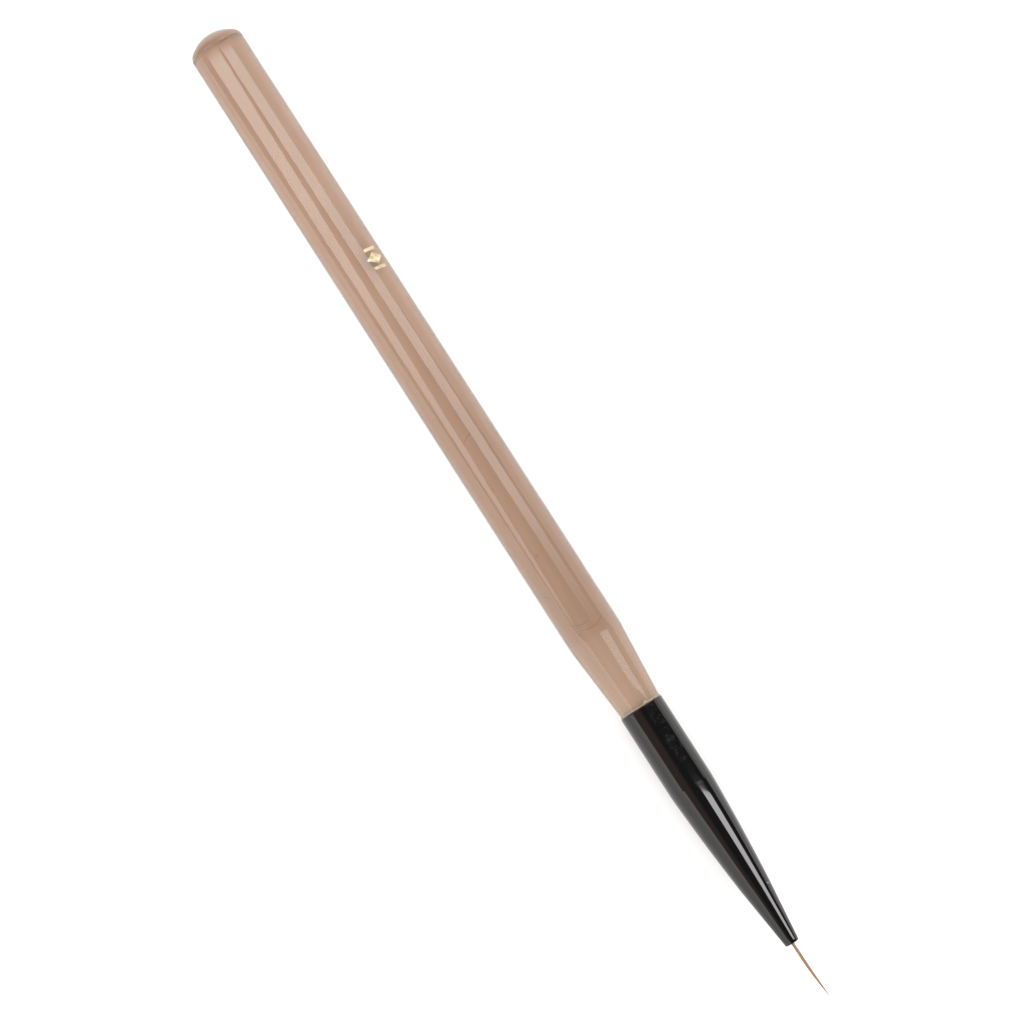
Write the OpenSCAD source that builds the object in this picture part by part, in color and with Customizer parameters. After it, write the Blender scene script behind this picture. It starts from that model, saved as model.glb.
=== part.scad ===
// Fine detail brush: a clear-coated round handle, a drawn metal ferrule and a fine pointed tuft.
// It lies along +X with the hair towards +X. The origin is on the surface that it lies on,
// midway between the end of the butt and the tip of the hair.

/* [Handle] */
// Outer diameter of the barrel
handle_d = 8.5; // [7:0.1:12]
// Length of the straight barrel, from the cap seam to the start of the taper
barrel_len = 102.5; // [70:0.5:150]
// Length of the taper between the barrel and the ferrule
taper_len = 12.6; // [8:0.2:20]
// Height of the domed butt
dome_h = 2.6; // [1.8:0.1:3.6]
// Radius of the dome's edge
dome_edge_r = 1.5; // [0.8:0.05:1.6]
// Length of the tenon inside the ferrule
tenon_len = 11; // [6:0.5:13]
// Wall of clear acrylic left round the coloured core at the tenon
tenon_wall = 0.3; // [0.2:0.05:0.6]

/* [Coloured core] */
// Height of the core's rounded butt end
core_end_h = 1.5; // [1.1:0.1:1.6]
// Radius of the edge of that rounded end
core_edge_r = 1.0; // [0.5:0.05:1.0]
// Clear acrylic between the core's end and the top of the dome
cap_wall = 0.5; // [0.3:0.05:0.6]

/* [Foil mark] */
// Distance from the end of the butt to the middle of the mark
mark_x = 42; // [20:0.5:60]
// Angle of the mark round the barrel, from the top towards +Y
mark_turn = 42; // [0:1:90]
// Length of the lozenge along the barrel
lozenge_len = 1.9; // [0.8:0.1:3]
// Width of the lozenge round the barrel
lozenge_w = 2.9; // [1:0.1:3]
// Length of each side bar along the barrel
bar_len = 0.5; // [0.2:0.05:0.8]
// Width of each side bar round the barrel
bar_w = 2.1; // [0.6:0.1:2.4]
// Gap along the barrel between the lozenge and each bar
bar_gap = 0.35; // [0.2:0.05:1]
// Thickness of the foil
foil_t = 0.03; // [0.02:0.01:0.05]

/* [Ferrule] */
// Outer diameter of the straight socket
ferrule_d = 6.86; // [5.6:0.02:6.9]
// Wall of the ferrule
ferrule_wall = 0.35; // [0.28:0.01:0.45]
// Length of the straight socket
socket_len = 13.4; // [13:0.2:20]
// Length of the ogive between the socket and the knee
ogive_len = 17.0; // [10:0.2:24]
// How far the middle of the ogive swells past a straight cone, on the radius
ogive_swell = 0.11; // [0:0.01:0.25]
// Diameter at the knee, where the nose cone starts
knee_d = 4.4; // [3.4:0.1:5.2]
// Length of the nose cone
nose_len = 9.6; // [8.2:0.2:14]
// Outer diameter of the mouth
nose_d = 2.2; // [1.8:0.05:2.8]
// Radius on the outer edges of the socket's rim and of the mouth
edge_r = 0.14; // [0.06:0.02:0.2]
// How far the socket's rim stands past the handle's neck, on the radius
rim_step = 0.22; // [0.1:0.01:0.28]

/* [Hair] */
// Diameter of the hair bundle
hair_d = 0.52; // [0.3:0.02:0.8]
// Free length of the hair, from the mouth to the tip
hair_len = 9.5; // [5:0.1:14]
// Length over which the free hair keeps its full diameter
belly_len = 2.7; // [1:0.1:4]
// Diameter of the point
point_d = 0.06; // [0.04:0.01:0.1]
// Length of the hair inside the ferrule
root_len = 7; // [5:0.2:8]
// How far the resin's face lies inside the mouth
resin_recess = 0.12; // [0.05:0.01:0.3]
// Diameter of the binding thread
thread_d = 0.14; // [0.08:0.02:0.2]
// Number of turns of thread round the roots
thread_turns = 9; // [4:1:14]

/* [Fits] */
// Glue between the handle and the ferrule, all round and under the rim
glue_gap = 0.05; // [0.03:0.01:0.08]
// Length of the glue film along the tenon
glue_len = 8; // [4:0.5:10]
// Width of the glue bead against the rim, on the radius
bead_w = 0.13; // [0.05:0.01:0.18]
// Length of the glue bead along the neck
bead_len = 0.26; // [0.1:0.02:0.4]
// Thickness of the glue in the cap's seam
seam_gap = 0.06; // [0.03:0.01:0.1]
// Depth of the groove left round the cap's seam
seam_groove = 0.2; // [0.16:0.01:0.3]
// Radial clearance between the core and the clear acrylic
core_fit = 0.02; // [0.01:0.01:0.04]
// Clearance left in front of the hair bundle so that it can bend
bend_gap = 0.35; // [0.3:0.01:0.5]

/* [Hidden] */
$fn = 96;
arc_steps = 10;
ogive_steps = 12;
glue_nip = 0.02;

handle_r = handle_d / 2;
ferrule_r = ferrule_d / 2;
bore_r = ferrule_r - ferrule_wall;
tenon_r = bore_r - glue_gap;
neck_r = ferrule_r - rim_step;
core_r = tenon_r - tenon_wall;
hair_r = hair_d / 2;
winding_r = hair_r + thread_d;

// Stations along the brush, measured from the end of the butt
seam_x = dome_h;
taper_x = seam_x + barrel_len;
joint_x = taper_x + taper_len;
rim_x = joint_x + glue_gap;
shoulder_x = rim_x + socket_len;
knee_x = shoulder_x + ogive_len;
mouth_x = knee_x + nose_len;
tip_x = mouth_x + hair_len;
tenon_x = joint_x + tenon_len;
core_tip_x = cap_wall + core_end_h;

// Lays a shape that is built up along +Z down along +X, on the surface
module laid() {
    translate([-tip_x / 2, 0, handle_r]) rotate([0, 90, 0]) children();
}

// Turns an outline of [distance along the brush, radius] points round the brush's axis
module turned(outline) {
    rotate_extrude() polygon([for (p = outline) [p[1], p[0]]]);
}

// Points of a rounded end of radius r and height h: a flat crown with a rounded edge
function end_points(r, h, edge, x0) =
    let (crown = (r * r - 2 * r * edge + h * h) / (2 * (h - edge)),
         split = asin((r - edge) / (crown - edge)))
    concat(
        [for (i = [0 : arc_steps]) let (a = split * i / arc_steps)
            [x0 + crown * (1 - cos(a)), crown * sin(a)]],
        [for (i = [1 : arc_steps]) let (a = split + (90 - split) * i / arc_steps)
            [x0 + h - edge * cos(a), r - edge + edge * sin(a)]]
    );

// Radius of the ferrule's outside at a distance s past the socket
function ogive_r(s) =
    let (k = s / ogive_len)
    ferrule_r + (knee_d / 2 - ferrule_r) * k + 4 * ogive_swell * k * (1 - k);

// Radius of the nose's bore at a distance s past the knee
function nose_bore_r(s) = knee_d / 2 - ferrule_wall + (nose_d - knee_d) / 2 * s / nose_len;

// Points of the ferrule's long curved outside, moved inwards by a wall
function ferrule_curve(wall) =
    concat(
        [for (i = [0 : ogive_steps]) let (s = ogive_len * i / ogive_steps)
            [shoulder_x + s, ogive_r(s) - wall]],
        [[mouth_x, nose_d / 2 - wall]]
    );

// Quarter circle of points round a centre, from one angle to another
function corner(cx, cr, a0, a1) =
    [for (i = [0 : 4]) let (a = a0 + (a1 - a0) * i / 4)
        [cx + edge_r * cos(a), cr + edge_r * sin(a)]];

// Outline of the coloured core, grown by a clearance
function core_outline(gap, end_x) =
    concat(end_points(core_r + gap, core_end_h, core_edge_r, cap_wall - gap),
           [[end_x, core_r + gap], [end_x, 0]]);

// Clear domed end, hollow over the core's rounded end
module butt_cap() {
    color([0.86, 0.80, 0.76]) laid() difference() {
        turned(concat(end_points(handle_r, dome_h, dome_edge_r, 0), [[seam_x, 0]]));
        turned(core_outline(core_fit, seam_x + 1));
    }
}

// Thin ring of glue between the cap and the barrel
module cap_glue() {
    color([0.33, 0.28, 0.25]) laid() translate([0, 0, seam_x]) difference() {
        cylinder(h = seam_gap, r = handle_r - seam_groove);
        translate([0, 0, -1]) cylinder(h = seam_gap + 2, r = core_r + core_fit);
    }
}

// Clear acrylic barrel, taper and tenon, bored through for the core
module handle_shell() {
    color([0.78, 0.68, 0.61]) laid() difference() {
        turned([[seam_x + seam_gap, 0], [seam_x + seam_gap, handle_r], [taper_x, handle_r],
                [joint_x, neck_r], [joint_x, tenon_r], [tenon_x, tenon_r], [tenon_x, 0]]);
        cylinder(h = tenon_x + 1, r = core_r + core_fit);
    }
}

// Rose-beige rod through the whole handle, rounded at the butt
module handle_core() {
    color([0.72, 0.58, 0.50]) laid() turned(core_outline(0, tenon_x));
}

// Flat outline of the mark: a lozenge between two short bars
module mark_outline() {
    polygon([[-lozenge_len / 2, 0], [0, -lozenge_w / 2], [lozenge_len / 2, 0], [0, lozenge_w / 2]]);
    for (side = [-1, 1])
        translate([side * (lozenge_len / 2 + bar_gap + bar_len / 2), 0])
            square([bar_len, bar_w], center = true);
}

// Gold foil on the barrel, as thin as leaf and curved with it
module foil_mark() {
    color([0.87, 0.78, 0.60]) intersection() {
        laid() translate([0, 0, mark_x - lozenge_w - bar_w]) difference() {
            cylinder(h = 2 * (lozenge_w + bar_w), r = handle_r + foil_t);
            translate([0, 0, -1]) cylinder(h = 2 * (lozenge_w + bar_w) + 2, r = handle_r);
        }
        translate([mark_x - tip_x / 2, 0, handle_r]) rotate([-mark_turn, 0, 0])
            linear_extrude(handle_d) mark_outline();
    }
}

// Radius of the handle's taper at a distance s before the joint
function taper_r(s) = neck_r + (handle_r - neck_r) * s / taper_len;

// Glue film on the tenon, under the rim, and the bead that stands out of the joint
module joint_glue() {
    color([0.80, 0.80, 0.62]) laid() turned([
        [joint_x - bead_len, taper_r(bead_len)],
        [joint_x - bead_len / 3, taper_r(bead_len / 3) + bead_w],
        [rim_x, neck_r + bead_w], [rim_x, bore_r], [joint_x + glue_len, bore_r],
        [joint_x + glue_len, tenon_r], [joint_x, tenon_r], [joint_x, neck_r]
    ]);
}

// Black drawn metal tube, open at both ends, with its edges rounded
module ferrule() {
    color([0.10, 0.10, 0.11]) laid() turned(concat(
        corner(rim_x + edge_r, ferrule_r - edge_r, 180, 90),
        [for (p = ferrule_curve(0)) if (p[0] < mouth_x) p],
        corner(mouth_x - edge_r, nose_d / 2 - edge_r, 90, 0),
        [[mouth_x, nose_d / 2 - ferrule_wall]],
        [for (i = [ogive_steps : -1 : 0]) ferrule_curve(ferrule_wall)[i]],
        [[rim_x, bore_r]]
    ));
}

// Epoxy plug that fills the nose, from the knee to the mouth, round the hair and the winding
module root_resin() {
    face_x = mouth_x - resin_recess;
    color([0.28, 0.16, 0.12]) laid() difference() {
        turned([[knee_x, 0], [knee_x, nose_bore_r(0)], [face_x, nose_bore_r(face_x - knee_x)],
                [face_x, 0]]);
        translate([0, 0, mouth_x - root_len]) cylinder(h = root_len + 1, r = hair_r);
        translate([0, 0, mouth_x - root_len])
            cylinder(h = thread_turns * thread_d, r = winding_r + glue_nip);
    }
}

// Close winding of thread round the roots
module root_thread() {
    color([0.85, 0.82, 0.74]) laid() translate([0, 0, mouth_x - root_len]) rotate_extrude()
        difference() {
            union() {
                translate([hair_r, 0])
                    square([thread_d / 2, thread_turns * thread_d]);
                for (i = [0 : thread_turns - 1])
                    translate([hair_r + thread_d / 2, (i + 0.5) * thread_d])
                        circle(d = thread_d, $fn = 24);
            }
            square([hair_r, thread_turns * thread_d]);
        }
}

// Hidden length of the hair bundle, glued in the nose
module hair_roots() {
    color([0.55, 0.42, 0.28]) laid() translate([0, 0, mouth_x - root_len])
        cylinder(h = root_len, r = hair_r, $fn = 48);
}

// Free hair: a slim rod that draws out to a point
module hair_tuft() {
    color([0.62, 0.46, 0.30]) laid() turned([
        [mouth_x + bend_gap, 0], [mouth_x + bend_gap, hair_r], [mouth_x + belly_len, hair_r],
        [tip_x, point_d / 2], [tip_x, 0]
    ]);
}

butt_cap();
cap_glue();
handle_shell();
handle_core();
foil_mark();
joint_glue();
ferrule();
root_resin();
root_thread();
hair_roots();
hair_tuft();
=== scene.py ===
"""Fine detail brush: the looks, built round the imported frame.

Everything is in metres in the frame's own axes. +X runs from the butt to the hair, +Z is up, and
the brush lies on the surface z = 0. Each sub-assembly is a class that builds its pieces as
outlines turned round the brush's axis, and each finish is a frozen dataclass that makes one
node material.
"""
import logging
import math
import random
from dataclasses import dataclass
from enum import Enum

import bmesh
import bpy
from mathutils import Matrix, Vector, noise
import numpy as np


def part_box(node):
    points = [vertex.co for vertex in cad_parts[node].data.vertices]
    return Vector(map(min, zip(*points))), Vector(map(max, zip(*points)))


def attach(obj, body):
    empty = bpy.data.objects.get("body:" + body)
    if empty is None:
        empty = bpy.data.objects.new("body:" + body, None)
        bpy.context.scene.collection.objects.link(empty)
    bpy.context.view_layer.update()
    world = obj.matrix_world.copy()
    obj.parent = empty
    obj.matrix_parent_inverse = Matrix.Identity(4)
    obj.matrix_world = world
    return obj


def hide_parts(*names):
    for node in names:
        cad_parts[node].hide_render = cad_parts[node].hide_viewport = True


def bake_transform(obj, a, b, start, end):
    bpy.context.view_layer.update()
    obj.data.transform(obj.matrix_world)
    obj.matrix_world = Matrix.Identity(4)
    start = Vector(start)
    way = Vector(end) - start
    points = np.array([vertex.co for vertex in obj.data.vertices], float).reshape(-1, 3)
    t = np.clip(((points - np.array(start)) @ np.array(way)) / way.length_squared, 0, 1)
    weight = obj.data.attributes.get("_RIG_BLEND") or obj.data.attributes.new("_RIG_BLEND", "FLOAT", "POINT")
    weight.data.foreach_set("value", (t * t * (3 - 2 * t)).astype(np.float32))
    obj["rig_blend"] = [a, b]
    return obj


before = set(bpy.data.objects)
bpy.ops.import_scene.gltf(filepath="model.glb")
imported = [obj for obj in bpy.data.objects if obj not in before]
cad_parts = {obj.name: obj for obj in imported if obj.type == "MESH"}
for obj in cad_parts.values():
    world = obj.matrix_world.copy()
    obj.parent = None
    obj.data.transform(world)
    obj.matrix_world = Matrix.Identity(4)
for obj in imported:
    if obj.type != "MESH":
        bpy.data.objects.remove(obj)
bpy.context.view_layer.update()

MM = 0.001

logging.basicConfig(level=logging.INFO, format="%(message)s")
log = logging.getLogger("brush")

Outline = list[tuple[float, float]]
Colour = tuple[float, float, float]


class Body(Enum):
    """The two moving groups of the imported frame."""

    BRUSH = "brush"
    TUFT = "tuft"


@dataclass(frozen=True)
class Stations:
    """Places along the brush and its main radii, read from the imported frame."""

    butt: float
    seam: float
    taper: float
    joint: float
    rim: float
    shoulder: float
    knee: float
    mouth: float
    tip: float
    axis_z: float
    barrel_r: float
    neck_r: float
    tenon_r: float
    core_r: float
    ferrule_r: float
    knee_r: float
    nose_r: float
    hair_r: float

    @staticmethod
    def from_frame() -> "Stations":
        """Read every station from the frame's node boxes and the few sizes they leave open.

        Returns:
            The filled in stations, in metres.
        """
        taper_len, socket_len, nose_len = 12.6 * MM, 13.4 * MM, 9.6 * MM
        rim_step, knee_r, nose_r = 0.22 * MM, 2.2 * MM, 1.1 * MM
        glue_gap = 0.05 * MM
        cap_low, cap_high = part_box("butt_cap")
        core_low, core_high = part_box("handle_core")
        tube_low, tube_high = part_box("ferrule")
        root_low, root_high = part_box("hair_roots")
        ferrule_r = (tube_high.z - tube_low.z) / 2
        core_r = (core_high.z - core_low.z) / 2
        joint = tube_low.x - glue_gap
        return Stations(
            butt=cap_low.x,
            seam=cap_high.x,
            taper=joint - taper_len,
            joint=joint,
            rim=tube_low.x,
            shoulder=tube_low.x + socket_len,
            knee=tube_high.x - nose_len,
            mouth=tube_high.x,
            tip=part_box("hair_tuft")[1].x,
            axis_z=(cap_low.z + cap_high.z) / 2,
            barrel_r=(cap_high.z - cap_low.z) / 2,
            neck_r=ferrule_r - rim_step,
            tenon_r=core_r + 0.3 * MM,
            core_r=core_r,
            ferrule_r=ferrule_r,
            knee_r=knee_r,
            nose_r=nose_r,
            hair_r=(root_high.z - root_low.z) / 2,
        )


PLACES = Stations.from_frame()


# ---------------------------------------------------------------------------------------------
# Mesh helpers
# ---------------------------------------------------------------------------------------------


def arc(cx: float, cr: float, radius: float, start: float, end: float, steps: int = 6) -> Outline:
    """Give the points of an arc in an outline.

    Args:
        cx: Distance of the centre along the brush.
        cr: Distance of the centre from the axis.
        radius: Radius of the arc.
        start: First angle in degrees, measured from +X towards the outside.
        end: Last angle in degrees.
        steps: Number of straight steps.

    Returns:
        The arc's points as (x, radius) pairs.
    """
    angles = [math.radians(start + (end - start) * i / steps) for i in range(steps + 1)]
    return [(cx + radius * math.cos(a), cr + radius * math.sin(a)) for a in angles]


def spread(start: tuple[float, float], end: tuple[float, float], count: int) -> Outline:
    """Give evenly spaced points on a straight stretch of an outline, without its two ends."""
    return [
        (start[0] + (end[0] - start[0]) * i / count, start[1] + (end[1] - start[1]) * i / count)
        for i in range(1, count)
    ]


def keep_mesh(name: str, bm: bmesh.types.BMesh, crease_deg: float = 32.0) -> bpy.types.Object:
    """Turn a bmesh into a finished, smooth-shaded object that sits at the origin.

    Args:
        name: Name of the piece.
        bm: The mesh, which is freed.
        crease_deg: Edges sharper than this stay sharp.

    Returns:
        The new object, linked to the scene.
    """
    for face in bm.faces:
        face.smooth = True
    for edge in bm.edges:
        edge.smooth = edge.calc_face_angle(0.0) < math.radians(crease_deg)
    mesh = bpy.data.meshes.new(name)
    bm.to_mesh(mesh)
    bm.free()
    piece = bpy.data.objects.new(name, mesh)
    bpy.context.scene.collection.objects.link(piece)
    return piece


def turned_mesh(outline: Outline, closed: bool = False, segments: int = 160) -> bmesh.types.BMesh:
    """Turn an outline once round the brush's axis.

    Args:
        outline: Points as (x, radius), from butt to tip on the outside.
        closed: Whether the outline is a loop, as it is for a tube or a ring.
        segments: Number of steps round the axis.

    Returns:
        The mesh, with its seam closed and its faces pointing outwards.
    """
    bm = bmesh.new()
    verts = [bm.verts.new((x, 0.0, PLACES.axis_z + r)) for x, r in outline]
    pairs = list(zip(verts, verts[1:]))
    if closed:
        pairs.append((verts[-1], verts[0]))
    edges = [bm.edges.new(pair) for pair in pairs]
    bmesh.ops.spin(
        bm,
        geom=verts + edges,
        cent=(0.0, 0.0, PLACES.axis_z),
        axis=(1.0, 0.0, 0.0),
        angle=math.tau,
        steps=segments,
        use_merge=True,
    )
    bmesh.ops.remove_doubles(bm, verts=bm.verts, dist=1e-7)
    bmesh.ops.recalc_face_normals(bm, faces=bm.faces)
    return bm


def turned(name: str, outline: Outline, closed: bool = False, segments: int = 160) -> bpy.types.Object:
    """Turn an outline and keep the result as a finished object."""
    return keep_mesh(name, turned_mesh(outline, closed, segments))


def around(x: float, r: float, angle_deg: float) -> Vector:
    """Give the point at a radius and at an angle from the top of the brush towards +Y."""
    a = math.radians(angle_deg)
    return Vector((x, r * math.sin(a), PLACES.axis_z + r * math.cos(a)))


# ---------------------------------------------------------------------------------------------
# Node helpers
# ---------------------------------------------------------------------------------------------


class Graph:
    """A thin wrapper that adds and joins nodes of one tree."""

    def __init__(self, tree: bpy.types.NodeTree) -> None:
        """Keep the tree that every later call adds to."""
        self.tree = tree

    def node(self, kind: str, **settings: object) -> bpy.types.Node:
        """Add a node.

        Args:
            kind: Blender's node type name.
            **settings: Properties of the node to set.

        Returns:
            The new node.
        """
        made = self.tree.nodes.new(kind)
        for key, value in settings.items():
            setattr(made, key, value)
        return made

    def feed(self, socket: bpy.types.NodeSocket, value: object) -> None:
        """Join an output to a socket, or set the socket to a plain value."""
        if isinstance(value, bpy.types.NodeSocket):
            self.tree.links.new(value, socket)
        elif value is not None:
            socket.default_value = value

    def math(self, operation: str, *values: object, clamp: bool = False) -> bpy.types.NodeSocket:
        """Add a Math node with its inputs and return its output."""
        made = self.node("ShaderNodeMath", operation=operation, use_clamp=clamp)
        for socket, value in zip(made.inputs, values):
            self.feed(socket, value)
        return made.outputs[0]

    def coords(self) -> bpy.types.NodeSocket:
        """Add a Texture Coordinate and return its Object output."""
        return self.node("ShaderNodeTexCoord").outputs["Object"]

    def noise(
        self, vector: object, scale: float, detail: float = 3.0, rough: float = 0.5
    ) -> bpy.types.NodeSocket:
        """Add a Noise Texture and return its value."""
        made = self.node("ShaderNodeTexNoise")
        self.feed(made.inputs["Vector"], vector)
        made.inputs["Scale"].default_value = scale
        made.inputs["Detail"].default_value = detail
        made.inputs["Roughness"].default_value = rough
        return made.outputs["Fac"]

    def ramp(
        self,
        value: object,
        low: float,
        high: float,
        out_low: float = 0.0,
        out_high: float = 1.0,
        shape: str = "SMOOTHSTEP",
    ) -> bpy.types.NodeSocket:
        """Map a value from one range to another, smoothly unless told otherwise, and return the result."""
        made = self.node("ShaderNodeMapRange", interpolation_type=shape, clamp=True)
        for socket, item in zip(made.inputs, (value, low, high, out_low, out_high)):
            self.feed(socket, item)
        return made.outputs[0]

    def mix(self, factor: object, first: object, second: object) -> bpy.types.NodeSocket:
        """Mix two colours and return the result."""
        made = self.node("ShaderNodeMix", data_type="RGBA")
        self.feed(made.inputs[0], factor)
        self.feed(made.inputs[6], first)
        self.feed(made.inputs[7], second)
        return made.outputs[2]

    def bump(self, height: object, distance: float, strength: float = 1.0) -> bpy.types.NodeSocket:
        """Add a Bump node and return its normal."""
        made = self.node("ShaderNodeBump")
        made.inputs["Distance"].default_value = distance
        made.inputs["Strength"].default_value = strength
        self.feed(made.inputs["Height"], height)
        return made.outputs["Normal"]


def rgba(colour: Colour) -> tuple[float, float, float, float]:
    """Add a full alpha to a colour."""
    return (*colour, 1.0)


# ---------------------------------------------------------------------------------------------
# Effects that more than one material uses
# ---------------------------------------------------------------------------------------------


def new_group(name: str, inputs: dict[str, float], outputs: dict[str, str]) -> bpy.types.NodeTree:
    """Start a shader node group with named float inputs and typed outputs.

    Args:
        name: Name of the group.
        inputs: Each input's name and default.
        outputs: Each output's name and socket type.

    Returns:
        The empty group.
    """
    group = bpy.data.node_groups.new(name, "ShaderNodeTree")
    for label, value in inputs.items():
        socket = group.interface.new_socket(label, in_out="INPUT", socket_type="NodeSocketFloat")
        socket.default_value = value
    for label, kind in outputs.items():
        group.interface.new_socket(label, in_out="OUTPUT", socket_type=kind)
    return group


class Effects:
    """The shared node groups, each built once."""

    def __init__(self) -> None:
        """Build every group."""
        self.unrolled = self._unrolled()
        self.haze = self._haze()
        self.specks = self._specks()
        self.hairline = self._hairline()
        self.drawn = self._drawn()

    @staticmethod
    def _unrolled() -> bpy.types.NodeTree:
        """Build the group that unrolls a round surface: along the brush, and round it as an angle."""
        outputs = {"Along": "NodeSocketFloat", "Angle": "NodeSocketFloat", "Flat": "NodeSocketVector"}
        group = new_group("unrolled", {}, outputs)
        g = Graph(group)
        out = g.node("NodeGroupOutput")
        coords = g.node("ShaderNodeTexCoord")
        split = g.node("ShaderNodeSeparateXYZ")
        g.feed(split.inputs[0], coords.outputs["Object"])
        height = g.math("SUBTRACT", split.outputs[2], PLACES.axis_z)
        angle = g.math("ARCTAN2", split.outputs[1], height)
        flat = g.node("ShaderNodeCombineXYZ")
        g.feed(flat.inputs[0], split.outputs[0])
        g.feed(flat.inputs[1], g.math("MULTIPLY", g.math("SINE", angle), PLACES.barrel_r))
        g.feed(flat.inputs[2], g.math("MULTIPLY", g.math("COSINE", angle), PLACES.barrel_r))
        g.feed(out.inputs["Along"], split.outputs[0])
        g.feed(out.inputs["Angle"], angle)
        g.feed(out.inputs["Flat"], flat.outputs[0])
        return group

    @staticmethod
    def _haze() -> bpy.types.NodeTree:
        """Build the group for the faint, cloudy haze that handling leaves on a polished surface."""
        inputs = {"Scale": 120.0, "Low": 0.0, "High": 1.0}
        group = new_group("handling_haze", inputs, {"Value": "NodeSocketFloat"})
        g = Graph(group)
        ins, out = g.node("NodeGroupInput"), g.node("NodeGroupOutput")
        coords = g.node("ShaderNodeTexCoord")
        broad = g.node("ShaderNodeTexNoise")
        g.feed(broad.inputs["Vector"], coords.outputs["Object"])
        g.feed(broad.inputs["Scale"], ins.outputs["Scale"])
        broad.inputs["Detail"].default_value = 4.0
        made = g.node("ShaderNodeMapRange", interpolation_type="SMOOTHSTEP", clamp=True)
        g.feed(made.inputs[0], broad.outputs["Fac"])
        made.inputs[1].default_value = 0.38
        made.inputs[2].default_value = 0.68
        g.feed(made.inputs[3], ins.outputs["Low"])
        g.feed(made.inputs[4], ins.outputs["High"])
        g.feed(out.inputs["Value"], made.outputs[0])
        return group

    @staticmethod
    def _specks() -> bpy.types.NodeTree:
        """Build the group for scattered tiny specks of dust or pigment."""
        inputs = {"Scale": 900.0, "Share": 0.05, "Size": 0.16}
        group = new_group("specks", inputs, {"Mask": "NodeSocketFloat"})
        g = Graph(group)
        ins, out = g.node("NodeGroupInput"), g.node("NodeGroupOutput")
        coords = g.node("ShaderNodeTexCoord")
        cells = g.node("ShaderNodeTexVoronoi", feature="F1")
        g.feed(cells.inputs["Vector"], coords.outputs["Object"])
        g.feed(cells.inputs["Scale"], ins.outputs["Scale"])
        split = g.node("ShaderNodeSeparateColor")
        g.feed(split.inputs[0], cells.outputs["Color"])
        chosen = g.math("LESS_THAN", split.outputs[0], ins.outputs["Share"])
        reach = g.math("MULTIPLY", ins.outputs["Size"], g.math("ADD", split.outputs[1], 0.4))
        near = g.math("SUBTRACT", 1.0, g.math("DIVIDE", cells.outputs["Distance"], reach), clamp=True)
        g.feed(out.inputs["Mask"], g.math("MULTIPLY", chosen, near))
        return group

    def _hairline(self) -> bpy.types.NodeTree:
        """Build the group for one fine curved line across a round surface, such as a crease."""
        group = new_group(
            "hairline",
            {"Along": 0.0, "Angle": 0.0, "Half span": 0.4, "Slope": 0.0, "Bow": 0.0, "Width": 0.0001},
            {"Mask": "NodeSocketFloat"},
        )
        g = Graph(group)
        ins, out = g.node("NodeGroupInput"), g.node("NodeGroupOutput")
        place = g.node("ShaderNodeGroup", node_tree=self.unrolled)
        past = g.math("SUBTRACT", place.outputs["Angle"], ins.outputs["Angle"])
        turn = g.math("DIVIDE", past, ins.outputs["Half span"])
        bow = g.math("MULTIPLY", ins.outputs["Bow"], g.math("MULTIPLY", turn, turn))
        lean = g.math("MULTIPLY", ins.outputs["Slope"], turn)
        waver = g.math("SUBTRACT", g.noise(place.outputs["Flat"], 1400.0), 0.5)
        wobble = g.math("MULTIPLY", waver, 0.25 * MM)
        line = g.math("ADD", g.math("ADD", ins.outputs["Along"], wobble), g.math("ADD", bow, lean))
        off = g.math("ABSOLUTE", g.math("SUBTRACT", place.outputs["Along"], line))
        thin = g.math("SUBTRACT", 1.0, g.math("DIVIDE", off, ins.outputs["Width"]), clamp=True)
        ends = g.math("SUBTRACT", 1.0, g.math("MULTIPLY", turn, turn), clamp=True)
        g.feed(out.inputs["Mask"], g.math("MULTIPLY", thin, g.math("POWER", ends, 0.5)))
        return group

    def _drawn(self) -> bpy.types.NodeTree:
        """Build the group for the fine lines that drawing or polishing leaves along a rod."""
        inputs = {"Along scale": 30.0, "Round scale": 2600.0}
        group = new_group("drawn_lines", inputs, {"Height": "NodeSocketFloat"})
        g = Graph(group)
        ins, out = g.node("NodeGroupInput"), g.node("NodeGroupOutput")
        place = g.node("ShaderNodeGroup", node_tree=self.unrolled)
        split = g.node("ShaderNodeSeparateXYZ")
        g.feed(split.inputs[0], place.outputs["Flat"])
        stretched = g.node("ShaderNodeCombineXYZ")
        g.feed(stretched.inputs[0], g.math("MULTIPLY", split.outputs[0], ins.outputs["Along scale"]))
        g.feed(stretched.inputs[1], g.math("MULTIPLY", split.outputs[1], ins.outputs["Round scale"]))
        g.feed(stretched.inputs[2], g.math("MULTIPLY", split.outputs[2], ins.outputs["Round scale"]))
        g.feed(out.inputs["Height"], g.noise(stretched.outputs[0], 1.0, 2.0))
        return group


EFFECTS = Effects()


def placed(g: Graph, group: bpy.types.NodeTree, **values: float) -> bpy.types.Node:
    """Place a shared group in a material with its own values.

    Args:
        g: The material's graph.
        group: The shared group.
        **values: Input values, with underscores for the spaces in the names.

    Returns:
        The group node.
    """
    made = g.node("ShaderNodeGroup", node_tree=group)
    for key, value in values.items():
        made.inputs[key.replace("_", " ")].default_value = value
    return made


def hazed(g: Graph, shader: bpy.types.Node, scale: float, low: float, high: float) -> None:
    """Give a shader the roughness of handling haze, from a low value to a high one."""
    haze = placed(g, EFFECTS.haze, Scale=scale, Low=low, High=high)
    g.feed(shader.inputs["Roughness"], haze.outputs["Value"])


# ---------------------------------------------------------------------------------------------
# Finishes
# ---------------------------------------------------------------------------------------------


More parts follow.
